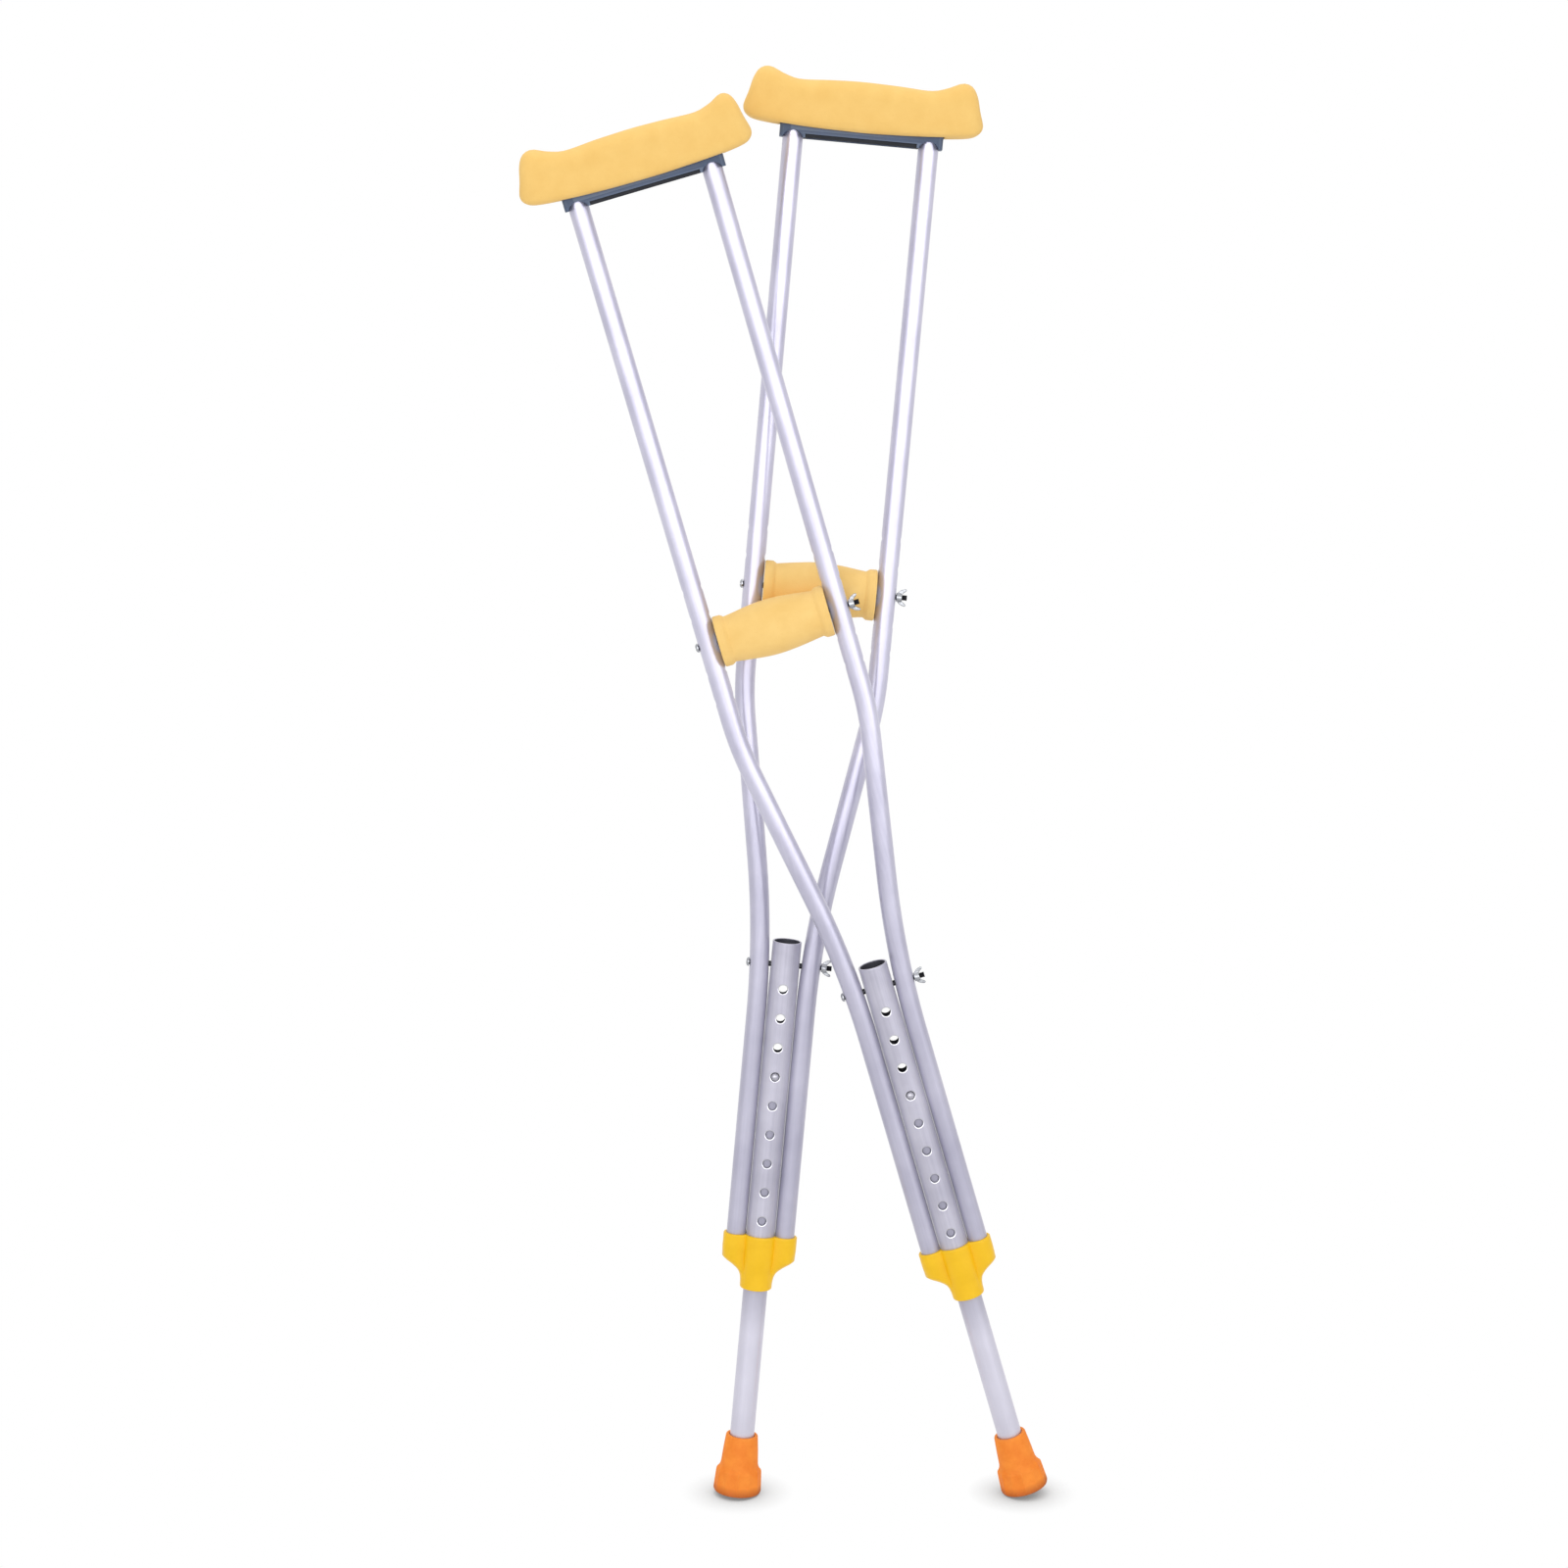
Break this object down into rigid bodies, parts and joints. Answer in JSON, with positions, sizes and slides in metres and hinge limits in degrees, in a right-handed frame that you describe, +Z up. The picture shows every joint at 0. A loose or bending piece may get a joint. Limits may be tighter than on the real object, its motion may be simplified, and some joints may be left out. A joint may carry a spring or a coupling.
{
  "type": "underarm crutches",
  "caption": "Adjustable aluminium underarm crutches with padded tops, barrel handgrips, wing-nut bolts, push-button telescoping legs and rubber ferrules.",
  "frame": {"origin": "centre of the pair's box at floor level", "axes": "+Z up, +X across the crossed pair as seen from the front, +Y from the front crutch to the rear one"},
  "size_m": [0.4626, 0.1208, 1.2751],
  "materials": {
    "pad_foam": "soft closed-cell foam skin, matt",
    "grip_foam": "soft closed-cell foam skin, matt",
    "slate_plastic": "moulded, fine texture",
    "yellow_plastic": "moulded, satin",
    "core_plastic": "extruded spacer tube",
    "tube_aluminium": "drawn tube, satin anodised",
    "zinc_steel": "bright zinc plate",
    "spring_steel": "tempered strip",
    "orange_rubber": "moulded rubber, matt"
  },
  "bodies": {
    "front_frame": {"front_underarm_pad": "pad_foam", "front_underarm_bracket": "slate_plastic", "front_left_upright": "tube_aluminium", "front_right_upright": "tube_aluminium", "front_centre_tube": "tube_aluminium", "front_frame_bolt": "zinc_steel", "front_grip_bolt": "zinc_steel", "front_base_bracket": "yellow_plastic"},
    "front_grip": {"front_handgrip": "grip_foam", "front_grip_core": "core_plastic"},
    "front_grip_nut": {"front_grip_wing_nut": "zinc_steel"},
    "front_frame_nut": {"front_frame_wing_nut": "zinc_steel"},
    "front_leg": {"front_leg_tube": "tube_aluminium", "front_snap_spring": "spring_steel", "front_ferrule": "orange_rubber", "front_ferrule_washer": "zinc_steel"},
    "front_button": {"front_snap_button": "zinc_steel"},
    "rear_frame": {"rear_underarm_pad": "pad_foam", "rear_underarm_bracket": "slate_plastic", "rear_left_upright": "tube_aluminium", "rear_right_upright": "tube_aluminium", "rear_centre_tube": "tube_aluminium", "rear_frame_bolt": "zinc_steel", "rear_grip_bolt": "zinc_steel", "rear_base_bracket": "yellow_plastic"},
    "rear_grip": {"rear_handgrip": "grip_foam", "rear_grip_core": "core_plastic"},
    "rear_grip_nut": {"rear_grip_wing_nut": "zinc_steel"},
    "rear_frame_nut": {"rear_frame_wing_nut": "zinc_steel"},
    "rear_leg": {"rear_leg_tube": "tube_aluminium", "rear_snap_spring": "spring_steel", "rear_ferrule": "orange_rubber", "rear_ferrule_washer": "zinc_steel"},
    "rear_button": {"rear_snap_button": "zinc_steel"}
  },
  "joints": [
    {"name": "front_grip_turn", "type": "hinge", "parent": "front_frame", "child": "front_grip", "pos_m": [-0.01817, -0.02841, 0.8005], "axis": [0.9603, 0.0301, 0.2774], "continuous": true},
    {"name": "front_grip_nut_turn", "type": "hinge", "parent": "front_frame", "child": "front_grip_nut", "pos_m": [0.04632, -0.02639, 0.81913], "axis": [0.9603, 0.0301, 0.2774], "continuous": true},
    {"name": "front_frame_nut_turn", "type": "hinge", "parent": "front_frame", "child": "front_frame_nut", "pos_m": [0.10445, -0.02185, 0.48633], "axis": [0.9603, 0.0301, 0.2774], "continuous": true},
    {"name": "front_leg_slide", "type": "slide", "parent": "front_frame", "child": "front_leg", "axis": [-0.277, -0.0168, 0.9607], "range_m": [-0.0801, 0.0801]},
    {"name": "front_button_press", "type": "slide", "parent": "front_leg", "child": "front_button", "axis": [-0.0335, 0.9994, 0.0078], "range_m": [0, 0.0044], "stiffness_N_per_m": 800, "springref_m": -0.003, "deforming": ["front_snap_spring"]},
    {"name": "rear_crutch_set_apart", "type": "slide", "parent": "front_frame", "child": "rear_frame", "axis": [0, 1, 0], "range_m": [0, 0.3]},
    {"name": "rear_grip_turn", "type": "hinge", "parent": "rear_frame", "child": "rear_grip", "pos_m": [0.022, 0.01996, 0.82528], "axis": [0.996, -0.002, -0.0896], "continuous": true},
    {"name": "rear_grip_nut_turn", "type": "hinge", "parent": "rear_frame", "child": "rear_grip_nut", "pos_m": [0.08888, 0.01983, 0.81926], "axis": [0.996, -0.002, -0.0896], "continuous": true},
    {"name": "rear_frame_nut_turn", "type": "hinge", "parent": "rear_frame", "child": "rear_frame_nut", "pos_m": [0.02258, 0.00589, 0.48826], "axis": [0.996, -0.002, -0.0896], "continuous": true},
    {"name": "rear_leg_slide", "type": "slide", "parent": "rear_frame", "child": "rear_leg", "axis": [0.0896, 0.0417, 0.9951], "range_m": [-0.0801, 0.0801]},
    {"name": "rear_button_press", "type": "slide", "parent": "rear_leg", "child": "rear_button", "axis": [-0.0017, 0.9991, -0.0417], "range_m": [0, 0.0044], "stiffness_N_per_m": 800, "springref_m": -0.003, "deforming": ["rear_snap_spring"]}
  ]
}
